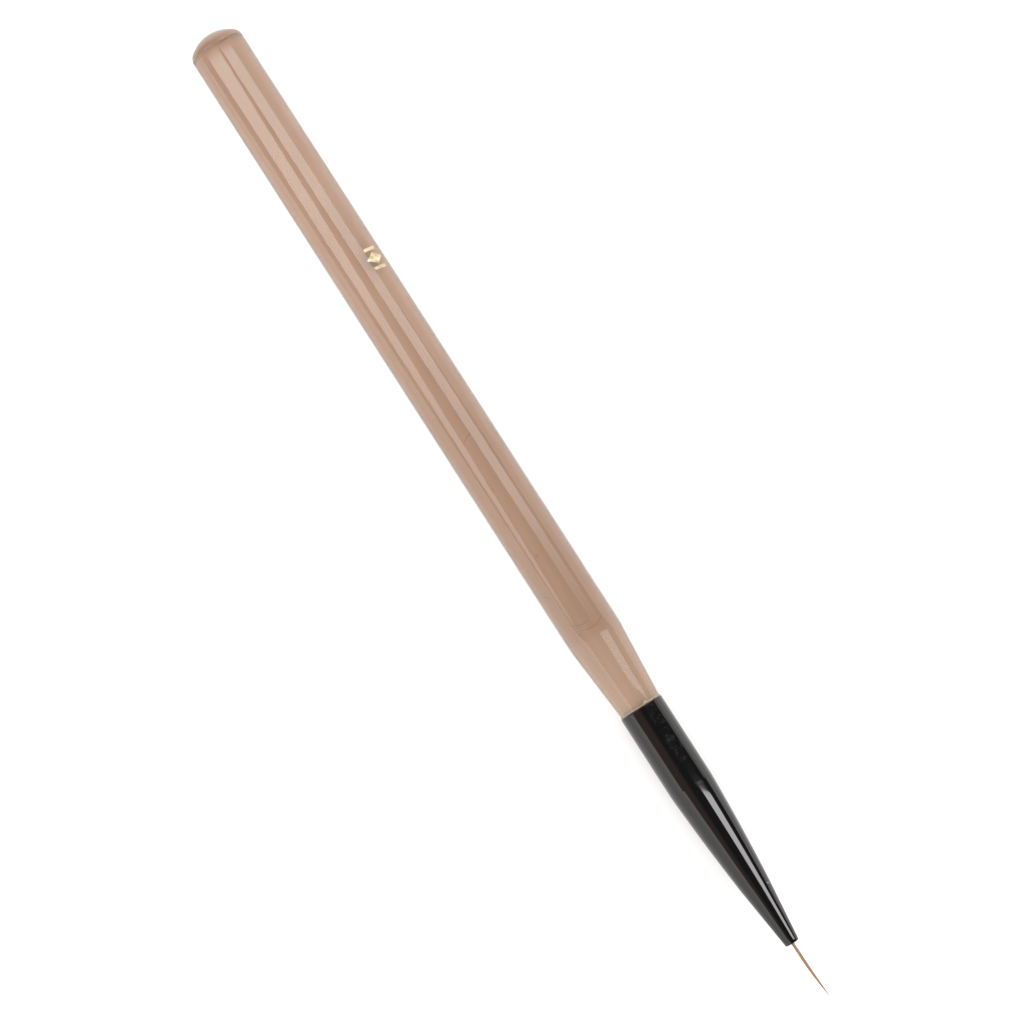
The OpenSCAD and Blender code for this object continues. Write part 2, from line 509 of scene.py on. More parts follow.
@dataclass(frozen=True)
class Finish:
    """What every finish shares: its name, the record's slot and a way to start its material."""

    name: str
    slot: str

    def start(self, **plain: object) -> tuple[bpy.types.Material, Graph, bpy.types.Node]:
        """Make the material with one Principled shader.

        Args:
            **plain: Values set directly on the shader, with underscores for spaces.

        Returns:
            The material, its graph and the shader node.
        """
        material = bpy.data.materials.new(self.name)
        material.use_nodes = True
        g = Graph(material.node_tree)
        material.node_tree.nodes.clear()
        out = g.node("ShaderNodeOutputMaterial")
        shader = g.node("ShaderNodeBsdfPrincipled")
        g.feed(out.inputs["Surface"], shader.outputs[0])
        for key, value in plain.items():
            shader.inputs[key.replace("_", " ")].default_value = value
        return material, g, shader

    def dress(self, *pieces: bpy.types.Object) -> None:
        """Build the material once and give it, to every piece."""
        material = self.build()
        for piece in pieces:
            piece.data.materials.clear()
            piece.data.materials.append(material)

    def build(self) -> bpy.types.Material:
        """Make the material."""
        raise NotImplementedError


@dataclass(frozen=True)
class ClearAcrylic(Finish):
    """Polished clear acrylic with faint handling haze, and painted shade that darkens it towards its
    outline.
    """

    name: str = "clear_acrylic"
    slot: str = "clear_acrylic"
    deep: Colour = (0.962, 0.955, 0.942)
    light: Colour = (0.985, 0.980, 0.972)
    # Painted shade: the brownish grey that the glass turns to towards its outline.
    edge: Colour = (0.36, 0.30, 0.25)

    def build(self) -> bpy.types.Material:
        """Make the material."""
        material, g, shader = self.start(IOR=1.49, Transmission_Weight=1.0, Metallic=0.0)
        hazed(g, shader, 160.0, 0.015, 0.05)
        coords = g.coords()
        body = g.mix(g.noise(coords, 90.0), rgba(self.deep), rgba(self.light))
        # Painted shade: the base colour darkens to the edge colour where the surface turns away from the
        # view.
        facing = g.node("ShaderNodeLayerWeight").outputs["Facing"]
        g.feed(shader.inputs["Base Color"], g.mix(g.ramp(facing, 0.50, 0.74), body, rgba(self.edge)))
        return material


@dataclass(frozen=True)
class Crease:
    """One fine dark line in the coloured core, where it was nicked or pinched."""

    x: float
    turn: float
    half_span: float
    slope: float = 0.0
    bow: float = 0.0
    width: float = 0.10 * MM
    depth: float = 0.5


@dataclass(frozen=True)
class RoseBeige(Finish):
    """The coloured core: a warm rose-beige with soft cloudiness, tiny specks and a few creases, with painted
    shade that darkens it towards the taper and painted light that makes it lighter and pinker in the taper.
    """

    name: str = "rose_beige"
    slot: str = "rose_beige"
    deep: Colour = (0.325, 0.205, 0.142)
    light: Colour = (0.355, 0.228, 0.161)
    dark: Colour = (0.12, 0.068, 0.045)
    # Painted shade: the darker colour that the core turns to towards the taper.
    painted_shade_to_taper: Colour = (0.262, 0.164, 0.112)
    # Painted light: the lighter, pinker colour that the core turns to in the taper.
    painted_light_pink: Colour = (0.375, 0.260, 0.190)
    creases: tuple[Crease, ...] = (
        Crease(-12.3 * MM, 0.10, 0.55, slope=-0.5 * MM, bow=0.7 * MM, width=0.10 * MM, depth=0.95),
        Crease(-9.6 * MM, 0.62, 0.28, slope=0.2 * MM, bow=0.2 * MM, width=0.09 * MM, depth=0.40),
        Crease(19.4 * MM, -0.45, 0.62, slope=0.9 * MM, bow=-0.9 * MM, width=0.13 * MM, depth=0.45),
        Crease(20.6 * MM, 0.35, 0.70, slope=-0.4 * MM, bow=-0.6 * MM, width=0.16 * MM, depth=0.38),
        Crease(13.6 * MM, -1.05, 0.16, slope=0.3 * MM, width=0.16 * MM, depth=0.75),
        Crease(-52.0 * MM, -0.15, 0.10, slope=0.2 * MM, width=0.10 * MM, depth=0.3),
    )

    def build(self) -> bpy.types.Material:
        """Make the material."""
        material, g, shader = self.start(IOR=1.45, Roughness=0.5, Specular_IOR_Level=0.15)
        coords = g.coords()
        cloud = g.ramp(g.noise(coords, 70.0, 5.0, 0.6), 0.32, 0.68)
        colour = g.mix(cloud, rgba(self.deep), rgba(self.light))
        place_on = g.node("ShaderNodeGroup", node_tree=EFFECTS.unrolled)
        along = place_on.outputs["Along"]
        # Painted shade: the core grows darker from 60 mm before the taper up to the taper.
        painted_shade_to_taper = g.ramp(along, -60.0 * MM, PLACES.taper, 0.0, 0.85, shape="LINEAR")
        colour = g.mix(painted_shade_to_taper, colour, rgba(self.painted_shade_to_taper))
        # Painted light: the core turns lighter and pinker from the taper's start, and more so towards the
        # joint.
        tapered = g.ramp(along, PLACES.taper - 1.2 * MM, PLACES.taper + 1.4 * MM, 0.0, 0.30)
        towards = g.ramp(along, PLACES.taper, PLACES.joint, 0.0, 0.50, shape="LINEAR")
        colour = g.mix(g.math("ADD", tapered, towards), colour, rgba(self.painted_light_pink))
        specks = placed(g, EFFECTS.specks, Scale=520.0, Share=0.035, Size=0.20)
        marks = g.math("MULTIPLY", specks.outputs["Mask"], 0.4)
        for crease in self.creases:
            line = placed(
                g,
                EFFECTS.hairline,
                Along=crease.x,
                Angle=crease.turn,
                Half_span=crease.half_span,
                Slope=crease.slope,
                Bow=crease.bow,
                Width=crease.width,
            )
            marks = g.math("MAXIMUM", marks, g.math("MULTIPLY", line.outputs["Mask"], crease.depth))
        g.feed(shader.inputs["Base Color"], g.mix(marks, colour, rgba(self.dark)))
        g.feed(shader.inputs["Normal"], g.bump(g.math("SUBTRACT", cloud, marks), 0.00002, 0.3))
        return material


@dataclass(frozen=True)
class SeamGlue(Finish):
    """The thin smoky film that holds the dome on the barrel."""

    name: str = "seam_glue"
    slot: str = "seam_glue"
    thin: Colour = (0.30, 0.20, 0.14)
    thick: Colour = (0.17, 0.12, 0.09)

    def build(self) -> bpy.types.Material:
        """Make the material."""
        material, g, shader = self.start(IOR=1.5)
        coords = g.coords()
        pooled = g.ramp(g.noise(coords, 420.0, 4.0), 0.42, 0.62)
        g.feed(shader.inputs["Base Color"], g.mix(pooled, rgba(self.thin), rgba(self.thick)))
        hazed(g, shader, 900.0, 0.2, 0.5)
        return material


@dataclass(frozen=True)
class JointGlue(Finish):
    """Pale, faintly yellow glue squeezed out of the joint, milky in patches."""

    name: str = "joint_glue"
    slot: str = "joint_glue"
    milky: Colour = (0.32, 0.265, 0.185)
    clear: Colour = (0.27, 0.205, 0.14)

    def build(self) -> bpy.types.Material:
        """Make the material."""
        material, g, shader = self.start(IOR=1.5, Subsurface_Weight=0.2, Subsurface_Scale=0.0004)
        coords = g.coords()
        grain = g.noise(coords, 1500.0, 4.0, 0.6)
        mask = g.ramp(grain, 0.40, 0.62)
        g.feed(shader.inputs["Base Color"], g.mix(mask, rgba(self.clear), rgba(self.milky)))
        hazed(g, shader, 1100.0, 0.16, 0.45)
        g.feed(shader.inputs["Normal"], g.bump(grain, 0.00003, 0.5))
        return material


@dataclass(frozen=True)
class GoldFoil(Finish):
    """Hot-stamped gold foil with rubbed patches, pinholes and fine crinkles."""

    name: str = "gold_foil"
    slot: str = "gold_foil"
    bright: Colour = (0.84, 0.72, 0.50)
    rubbed: Colour = (0.50, 0.40, 0.24)

    def build(self) -> bpy.types.Material:
        """Make the material."""
        material, g, shader = self.start(Metallic=1.0)
        coords = g.coords()
        rub = g.ramp(g.noise(coords, 900.0, 5.0, 0.6), 0.38, 0.66)
        colour = g.mix(rub, rgba(self.bright), rgba(self.rubbed))
        holes = placed(g, EFFECTS.specks, Scale=3600.0, Share=0.10, Size=0.30)
        g.feed(shader.inputs["Base Color"], g.mix(holes.outputs["Mask"], colour, rgba((0.33, 0.23, 0.13))))
        hazed(g, shader, 1300.0, 0.30, 0.55)
        g.feed(shader.inputs["Normal"], g.bump(g.noise(coords, 2600.0, 4.0), 0.00001, 0.5))
        return material


@dataclass(frozen=True)
class BlackFerrule(Finish):
    """Glossy black plating over drawn metal, with fine drawn lines, dust and one small scuff."""

    name: str = "black_ferrule"
    slot: str = "black_ferrule"
    black: Colour = (0.052, 0.051, 0.051)
    dust: Colour = (0.085, 0.100, 0.135)
    scuff: Colour = (0.42, 0.36, 0.30)
    dust_x: float = 39.2 * MM
    dust_reach: float = 7.5 * MM
    dust_turn: float = 0.42
    dust_half: float = 0.42
    dust_cover: float = 0.55
    scuff_x: float = 65.0 * MM

    def build(self) -> bpy.types.Material:
        """Make the material."""
        material, g, shader = self.start(IOR=1.5)
        place_on = g.node("ShaderNodeGroup", node_tree=EFFECTS.unrolled)
        past_x = g.math("SUBTRACT", place_on.outputs["Along"], self.dust_x)
        past_turn = g.math("SUBTRACT", place_on.outputs["Angle"], self.dust_turn)
        away = g.math("DIVIDE", past_x, self.dust_reach)
        aside = g.math("DIVIDE", past_turn, self.dust_half)
        spread_out = g.math("ADD", g.math("MULTIPLY", away, away), g.math("MULTIPLY", aside, aside))
        patch = g.ramp(spread_out, 0.0, 1.0, 1.0, 0.0)
        fine = placed(g, EFFECTS.specks, Scale=4200.0, Share=0.30, Size=0.42)
        coarse = placed(g, EFFECTS.specks, Scale=2200.0, Share=0.14, Size=0.24)
        film = g.ramp(g.noise(place_on.outputs["Flat"], 900.0, 4.0, 0.6), 0.45, 0.75)
        settled = g.math("ADD", fine.outputs["Mask"], g.math("MULTIPLY", film, 0.35))
        loose = g.math("MULTIPLY", coarse.outputs["Mask"], 0.35)
        dusty = g.math("ADD", g.math("MULTIPLY", settled, patch), loose, clamp=True)
        dusty = g.math("MULTIPLY", dusty, self.dust_cover)
        scuff = placed(
            g,
            EFFECTS.hairline,
            Along=self.scuff_x,
            Angle=0.95,
            Half_span=0.12,
            Slope=0.15 * MM,
            Width=0.10 * MM,
        )
        colour = g.mix(dusty, rgba(self.black), rgba(self.dust))
        bare = scuff.outputs["Mask"]
        g.feed(shader.inputs["Base Color"], g.mix(bare, colour, rgba(self.scuff)))
        covered = g.math("MAXIMUM", dusty, bare)
        g.feed(shader.inputs["Metallic"], g.math("SUBTRACT", 1.0, covered))
        haze = placed(g, EFFECTS.haze, Scale=300.0, Low=0.03, High=0.075)
        rough = g.math("ADD", haze.outputs["Value"], g.math("MULTIPLY", dusty, 0.12))
        g.feed(shader.inputs["Roughness"], rough)
        lines = placed(g, EFFECTS.drawn, Along_scale=40.0, Round_scale=3200.0)
        height = g.math("ADD", lines.outputs["Height"], g.math("MULTIPLY", dusty, 0.5))
        g.feed(shader.inputs["Normal"], g.bump(height, 0.000001, 0.3))
        return material


@dataclass(frozen=True)
class RootResin(Finish):
    """Dark reddish-brown resin that sets the hair in the nose."""

    name: str = "root_resin"
    slot: str = "root_resin"
    dark: Colour = (0.022, 0.008, 0.006)
    warm: Colour = (0.085, 0.030, 0.018)

    def build(self) -> bpy.types.Material:
        """Make the material."""
        material, g, shader = self.start(IOR=1.55)
        coords = g.coords()
        swirl = g.ramp(g.noise(coords, 1800.0, 4.0), 0.35, 0.65)
        g.feed(shader.inputs["Base Color"], g.mix(swirl, rgba(self.dark), rgba(self.warm)))
        hazed(g, shader, 1500.0, 0.08, 0.3)
        g.feed(shader.inputs["Normal"], g.bump(swirl, 0.00001, 0.4))
        return material


@dataclass(frozen=True)
class RootThread(Finish):
    """Off-white binding thread with its twist."""

    name: str = "binding_thread"
    slot: str = "thread"
    pale: Colour = (0.70, 0.66, 0.56)
    shade: Colour = (0.42, 0.38, 0.30)

    def build(self) -> bpy.types.Material:
        """Make the material."""
        material, g, shader = self.start(Roughness=0.85, Sheen_Weight=0.3)
        coords = g.coords()
        twist = g.node("ShaderNodeTexWave", wave_type="BANDS", bands_direction="DIAGONAL")
        g.feed(twist.inputs["Vector"], coords)
        twist.inputs["Scale"].default_value = 9000.0
        twist.inputs["Distortion"].default_value = 1.5
        g.feed(shader.inputs["Base Color"], g.mix(twist.outputs["Fac"], rgba(self.shade), rgba(self.pale)))
        g.feed(shader.inputs["Normal"], g.bump(twist.outputs["Fac"], 0.00001, 0.6))
        return material


@dataclass(frozen=True)
class HairFinish(Finish):
    """Fine golden-brown filament: greyer at the root, dark at the very point, each hair its own shade."""

    name: str = "brown_hair"
    slot: str = "hair"
    root: Colour = (0.315, 0.215, 0.120)
    belly: Colour = (0.335, 0.200, 0.104)
    point: Colour = (0.100, 0.078, 0.055)

    def build(self) -> bpy.types.Material:
        """Make the material."""
        material, g, shader = self.start(Roughness=0.38, IOR=1.55)
        along = g.node("ShaderNodeAttribute", attribute_name="along").outputs["Fac"]
        shade = g.node("ShaderNodeAttribute", attribute_name="shade").outputs["Fac"]
        colour = g.mix(g.ramp(along, 0.0, 0.32), rgba(self.root), rgba(self.belly))
        colour = g.mix(g.ramp(along, 0.58, 0.95), colour, rgba(self.point))
        deep = g.mix(0.6, colour, rgba((0.05, 0.03, 0.02)))
        coords = g.coords()
        streak = g.math("MULTIPLY", g.noise(coords, 2500.0, 3.0), g.ramp(shade, 0.0, 1.0, 0.25, 1.0))
        g.feed(shader.inputs["Base Color"], g.mix(streak, colour, deep))
        return material


@dataclass(frozen=True)
class PalePaper(Finish):
    """Pale, very slightly uneven studio paper."""

    name: str = "pale_paper"
    slot: str = ""
    low: Colour = (0.925, 0.925, 0.923)
    high: Colour = (0.940, 0.940, 0.938)

    def build(self) -> bpy.types.Material:
        """Make the material."""
        material, g, shader = self.start(Roughness=0.95, Specular_IOR_Level=0.0)
        uneven = g.noise(g.coords(), 14.0)
        g.feed(shader.inputs["Base Color"], g.mix(uneven, rgba(self.low), rgba(self.high)))
        return material


# ---------------------------------------------------------------------------------------------
# Sub-assemblies
# ---------------------------------------------------------------------------------------------


def settle(piece: bpy.types.Object, body: Body, *nodes: str) -> None:
    """Let a piece ride on a body in place of its nodes, and log it."""
    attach(piece, body.value)
    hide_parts(*nodes)
    log.info("%s: %d faces, stands for %s", piece.name, len(piece.data.polygons), ", ".join(nodes))


@dataclass
class Handle:
    """Clear acrylic barrel and dome over a coloured core, with the glued seam between them."""

    dome_edge_r: float = 1.5 * MM
    seam_gap: float = 0.06 * MM
    seam_groove: float = 0.2 * MM
    film_play: float = 0.005 * MM
    lip_r: float = 0.06 * MM
    guard: float = 0.03 * MM
    cap_wall: float = 0.5 * MM
    core_end_h: float = 1.5 * MM
    core_edge_r: float = 1.0 * MM
    core_fit: float = 0.02 * MM
    shoulder_blend: float = 0.8 * MM
    tenon_len: float = 11.0 * MM

    @staticmethod
    def rounded_end(x0: float, r: float, h: float, edge: float) -> Outline:
        """Give the outline of a rounded end: a flat crown that runs into a tight edge.

        Args:
            x0: Where the end starts on the axis.
            r: Full radius.
            h: Height of the end.
            edge: Radius of the edge.

        Returns:
            The outline from the axis to the full radius.
        """
        crown = (r * r - 2 * r * edge + h * h) / (2 * (h - edge))
        split = math.degrees(math.asin((r - edge) / (crown - edge)))
        top = arc(x0 + crown, 0.0, crown, 180.0, 180.0 - split, 14)
        side = arc(x0 + h, r - edge, edge, 180.0 - split, 90.0, 12)
        return top + side[1:]

    def core_outline(self, gap: float) -> Outline:
        """Give the rounded butt end of the core, or of the space for it when there is a gap."""
        start = PLACES.butt + self.cap_wall - gap
        return self.rounded_end(start, PLACES.core_r + gap, self.core_end_h, self.core_edge_r)

    def build_dome(self) -> bpy.types.Object:
        """Turn the clear dome, solid but for the space that the core fills."""
        p = PLACES
        outline = self.rounded_end(p.butt, p.barrel_r, p.seam - p.butt - self.lip_r, self.dome_edge_r)
        outline += arc(p.seam - self.lip_r, p.barrel_r - self.lip_r, self.lip_r, 90.0, 0.0, 5)[1:]
        outline.append((p.seam, 0.0))
        return turned("butt_dome", outline)

    def taper_points(self) -> Outline:
        """Give the taper's outline, which starts with a short soft blend out of the barrel."""
        p = PLACES
        drop = (p.barrel_r - p.neck_r) / (p.joint - p.taper)
        reach = self.shoulder_blend
        blend = []
        for i in range(1, 8):
            s = 2 * reach * i / 8
            blend.append((p.taper - reach + s, p.barrel_r - drop * s * s / (4 * reach)))
        end = (p.taper + reach, p.barrel_r - drop * reach)
        return blend + [end] + spread(end, (p.joint, p.neck_r), 10) + [(p.joint, p.neck_r)]

    def build_barrel(self) -> bpy.types.Object:
        """Turn the clear barrel with its taper and tenon."""
        p = PLACES
        start = p.seam + self.seam_gap
        outline = [(start, 0.0)]
        outline += arc(start + self.lip_r, p.barrel_r - self.lip_r, self.lip_r, 180.0, 90.0, 5)
        outline.append((outline[-1][0] + self.guard, p.barrel_r))
        outline += spread(outline[-1], (p.taper - self.shoulder_blend, p.barrel_r), 40)
        outline.append((p.taper - self.shoulder_blend, p.barrel_r))
        outline += self.taper_points()
        end = p.joint + self.tenon_len
        outline += [(p.joint, p.tenon_r), (end, p.tenon_r), (end, 0.0)]
        return turned("clear_barrel", outline)

    def build_core(self) -> bpy.types.Object:
        """Turn the coloured core."""
        outline = self.core_outline(0.0)
        end = PLACES.joint + self.tenon_len - 2 * self.core_fit
        outline += spread(outline[-1], (end, PLACES.core_r), 60)
        outline += [(end, PLACES.core_r), (end, 0.0)]
        return turned("coloured_core", outline)

    def build_seam(self) -> bpy.types.Object:
        """Turn the thin ring of glue in the seam."""
        p = PLACES
        x0, x1 = p.seam + self.film_play, p.seam + self.seam_gap - self.film_play
        outer, inner = p.barrel_r - self.seam_groove, p.core_r
        return turned("seam_glue_ring", [(x0, inner), (x0, outer), (x1, outer), (x1, inner)], closed=True)

    def build(self) -> None:
        """Build, dress and place the handle's pieces."""
        dome, barrel = self.build_dome(), self.build_barrel()
        rod, ring = self.build_core(), self.build_seam()
        ClearAcrylic().dress(dome, barrel)
        RoseBeige().dress(rod)
        SeamGlue().dress(ring)
        for clear in (dome, barrel):
            clear.visible_shadow = False
        settle(dome, Body.BRUSH, "butt_cap")
        settle(barrel, Body.BRUSH, "handle_shell")
        settle(rod, Body.BRUSH, "handle_core")
        settle(ring, Body.BRUSH, "cap_glue")


@dataclass
class FoilMark:
    """A plain gold lozenge between two short bars, stamped on the barrel."""

    from_butt: float = 42.0 * MM
    turn_deg: float = 42.0
    lozenge_len: float = 1.9 * MM
    lozenge_w: float = 2.9 * MM
    bar_len: float = 0.5 * MM
    bar_w: float = 2.1 * MM
    bar_gap: float = 0.35 * MM
    thick: float = 0.03 * MM
    strips: int = 14

    def draw(self, bm: bmesh.types.BMesh) -> None:
        """Draw the flat lozenge and the two bars, with y across the barrel."""
        corners = bmesh.ops.create_circle(bm, cap_ends=True, segments=4, radius=0.5)["verts"]
        bmesh.ops.scale(bm, vec=(self.lozenge_len, self.lozenge_w, 1.0), verts=corners)
        reach = (self.lozenge_len + self.bar_len) / 2 + self.bar_gap
        for side in (-1, 1):
            bar = bmesh.ops.create_grid(bm, x_segments=1, y_segments=1, size=0.5)["verts"]
            bmesh.ops.scale(bm, vec=(self.bar_len, self.bar_w, 1.0), verts=bar)
            bmesh.ops.translate(bm, vec=(side * reach, 0.0, 0.0), verts=bar)

    def build(self) -> None:
        """Build, dress and place the foil."""
        bm = bmesh.new()
        self.draw(bm)
        for i in range(1, self.strips):
            y = self.lozenge_w * (i / self.strips - 0.5)
            geom = bm.verts[:] + bm.edges[:] + bm.faces[:]
            bmesh.ops.bisect_plane(bm, geom=geom, plane_co=(0.0, y, 0.0), plane_no=(0.0, 1.0, 0.0))
        grown = bmesh.ops.extrude_face_region(bm, geom=bm.faces[:])["geom"]
        upper = [item for item in grown if isinstance(item, bmesh.types.BMVert)]
        bmesh.ops.translate(bm, vec=(0.0, 0.0, self.thick), verts=upper)
        x0, r = PLACES.butt + self.from_butt, PLACES.barrel_r
        for vert in bm.verts:
            turn = self.turn_deg + math.degrees(math.asin(vert.co.y / r))
            vert.co = around(x0 + vert.co.x, r + vert.co.z, turn)
        bmesh.ops.recalc_face_normals(bm, faces=bm.faces)
        piece = keep_mesh("foil_mark_leaf", bm)
        GoldFoil().dress(piece)
        settle(piece, Body.BRUSH, "foil_mark")


@dataclass
class Joint:
    """Glue that holds the ferrule on the handle, with the bead that was squeezed out."""

    wall: float = 0.35 * MM
    film_len: float = 8.0 * MM
    bead_len: float = 0.26 * MM
    bead_w: float = 0.13 * MM
    taper_len: float = 12.6 * MM
    blob_deg: float = 16.0
    blob_half_deg: float = 5.5
    blob_rise: float = 0.10 * MM
    blob_run: float = 0.42 * MM

    def swell(self, angle: float) -> tuple[float, float]:
        """Say how far the bead rises and runs at an angle.

        Args:
            angle: Angle from the top towards +Y, in radians.

        Returns:
            Extra height, and extra length towards the handle, in metres.
        """
        spot = Vector((4.0 * math.cos(angle), 4.0 * math.sin(angle), 3.7))
        wave = noise.noise(spot) + 0.5 * noise.noise(spot * 2.9)
        past = (math.degrees(angle) - self.blob_deg) / self.blob_half_deg
        blob = math.exp(-past * past)
        rise = -0.04 * MM + 0.05 * MM * wave + self.blob_rise * blob
        run = -0.06 * MM + 0.09 * MM * wave + self.blob_run * blob
        return max(rise, -0.08 * MM), max(run, -0.15 * MM)

    def build(self) -> None:
        """Build, dress and place the glue."""
        p = PLACES
        slope = (p.barrel_r - p.neck_r) / self.taper_len
        bore_r = p.ferrule_r - self.wall
        foot, crest = p.joint - self.bead_len, p.joint - self.bead_len / 3
        outline = [
            (foot, p.neck_r + slope * self.bead_len),
            (crest - 0.06 * MM, p.neck_r + self.bead_w * 0.75),
            (crest, p.neck_r + self.bead_w),
            (p.rim - 0.07 * MM, p.neck_r + self.bead_w * 0.9),
            (p.rim - 0.04 * MM, p.neck_r + self.bead_w * 0.1),
            (p.rim, p.neck_r + self.bead_w * 0.1),
            (p.rim, bore_r),
            (p.joint + self.film_len, bore_r),
            (p.joint + self.film_len, p.tenon_r),
            (p.joint, p.tenon_r),
            (p.joint, p.neck_r),
        ]
        bm = turned_mesh(outline, closed=True)
        axis = Vector((0.0, 0.0, p.axis_z))
        for vert in bm.verts:
            out = Vector((0.0, vert.co.y, vert.co.z)) - axis
            if vert.co.x > p.rim - 0.001 * MM or out.length < p.neck_r + 0.001 * MM:
                continue
            rise, run = self.swell(math.atan2(out.y, out.z))
            ahead = (p.joint - vert.co.x) / self.bead_len
            lift = rise * max(0.0, 1.0 - ahead) * 1.2
            x = vert.co.x - run * ahead
            floor_r = p.neck_r + slope * (p.joint - x)
            r = max(out.length + lift, floor_r)
            vert.co = axis + out.normalized() * r + Vector((x, 0.0, 0.0))
        piece = keep_mesh("glue_bead", bm, crease_deg=50.0)
        JointGlue().dress(piece)
        settle(piece, Body.BRUSH, "joint_glue")


@dataclass
class Ferrule:
    """Black drawn tube: straight socket, ogive and nose cone, with rounded rims."""

    wall: float = 0.35 * MM
    edge_r: float = 0.14 * MM
    swell: float = 0.11 * MM
    ogive_steps: int = 28
    guard: float = 0.03 * MM

    def nose_slope(self) -> float:
        """Give how fast the nose narrows."""
        p = PLACES
        return (p.knee_r - p.nose_r) / (p.mouth - p.knee)

    def outside(self) -> Outline:
        """Give the outside from the shoulder to just before the mouth's edge."""
        p = PLACES
        points = []
        first = self.guard / (p.knee - p.shoulder)
        for k in [0.0, first] + [i / self.ogive_steps for i in range(1, self.ogive_steps + 1)]:
            r = p.ferrule_r + (p.knee_r - p.ferrule_r) * k + 4 * self.swell * k * (1 - k)
            points.append((p.shoulder + (p.knee - p.shoulder) * k, r))
        back = 2 * self.edge_r
        near_mouth = (p.mouth - back, p.nose_r + back * self.nose_slope())
        return points + spread(points[-1], near_mouth, 12)

    def build(self) -> None:
        """Build, dress and place the tube."""
        p, e = PLACES, self.edge_r
        outer = self.outside()
        outline = arc(p.rim + e, p.ferrule_r - e, e, 180.0, 90.0, 8)
        outline.append((outline[-1][0] + self.guard, p.ferrule_r))
        outline += spread(outline[-1], (p.shoulder - self.guard, p.ferrule_r), 12)
        outline.append((p.shoulder - self.guard, p.ferrule_r))
        outline += outer
        outline.append((p.mouth - e - self.guard, p.nose_r + (e + self.guard) * self.nose_slope()))
        outline += arc(p.mouth - e, p.nose_r - e, e, 84.0, 0.0, 8)
        outline += arc(p.mouth - e / 2, p.nose_r - self.wall + e / 2, e / 2, 0.0, -84.0, 5)
        outline += [(x, r - self.wall) for x, r in reversed(outer)]
        outline += arc(p.rim + e / 2, p.ferrule_r - self.wall + e / 2, e / 2, 270.0, 180.0, 5)
        tube = turned("ferrule_tube", outline, closed=True)
        BlackFerrule().dress(tube)
        settle(tube, Body.BRUSH, "ferrule")


@dataclass
class Root:
    """What holds the hair inside the nose: a wound thread, set in resin."""

    wall: float = 0.35 * MM
    root_len: float = 7.0 * MM
    recess: float = 0.12 * MM
    thread_d: float = 0.14 * MM
    turns: int = 9
    turn_steps: int = 28

    def bore_r(self, x: float) -> float:
        """Give the nose's inner radius at a place."""
        p = PLACES
        k = (x - p.knee) / (p.mouth - p.knee)
        return p.knee_r + (p.nose_r - p.knee_r) * k - self.wall

    def build_resin(self) -> bpy.types.Object:
        """Turn the resin plug, with its hollow face and the hole that the hair fills."""
        p = PLACES
        face, back = p.mouth - self.recess, p.mouth - self.root_len
        wound_r = p.hair_r + self.thread_d * 1.1
        wound = back + self.turns * self.thread_d
        outline = [(p.knee, 0.0), (p.knee, self.bore_r(p.knee))]
        outline += spread(outline[-1], (face, self.bore_r(face)), 10)
        outline += [(face, self.bore_r(face)), (face - 0.06 * MM, self.bore_r(face) - 0.07 * MM)]
        outline += [(face - 0.07 * MM, (self.bore_r(face) + p.hair_r) / 2)]
        outline += [(face - 0.03 * MM, p.hair_r + 0.05 * MM), (face + 0.05 * MM, p.hair_r)]
        outline += [(wound, p.hair_r), (wound, wound_r), (back, wound_r), (back, 0.0)]
        return turned("resin_plug", outline, segments=96)

    def build_thread(self) -> bpy.types.Object:
        """Wind the thread round the end of the hair as one helix."""
        p = PLACES
        bm = bmesh.new()
        half = self.thread_d / 2
        start = Vector((p.mouth - self.root_len + half, 0.0, p.axis_z + p.hair_r + half))
        ring = bmesh.ops.create_circle(bm, segments=8, radius=half)["verts"]
        bmesh.ops.rotate(bm, verts=ring, cent=(0.0, 0.0, 0.0), matrix=Matrix.Rotation(math.pi / 2, 3, "X"))
        bmesh.ops.translate(bm, verts=ring, vec=start)
        steps = (self.turns - 1) * self.turn_steps
        bmesh.ops.spin(
            bm,
            geom=bm.verts[:] + bm.edges[:],
            cent=(0.0, 0.0, p.axis_z),
            axis=(1.0, 0.0, 0.0),
            dvec=(self.thread_d / self.turn_steps, 0.0, 0.0),
            angle=math.tau * (self.turns - 1),
            steps=steps,
        )
        open_ends = [edge for edge in bm.edges if edge.is_boundary]
        bmesh.ops.holes_fill(bm, edges=open_ends, sides=0)
        bmesh.ops.recalc_face_normals(bm, faces=bm.faces)
        return keep_mesh("binding_thread", bm, crease_deg=60.0)

    def build(self) -> None:
        """Build, dress and place the resin and the thread."""
        plug, thread = self.build_resin(), self.build_thread()
        RootResin().dress(plug)
        RootThread().dress(thread)
        settle(plug, Body.BRUSH, "root_resin")
        settle(thread, Body.BRUSH, "root_thread")


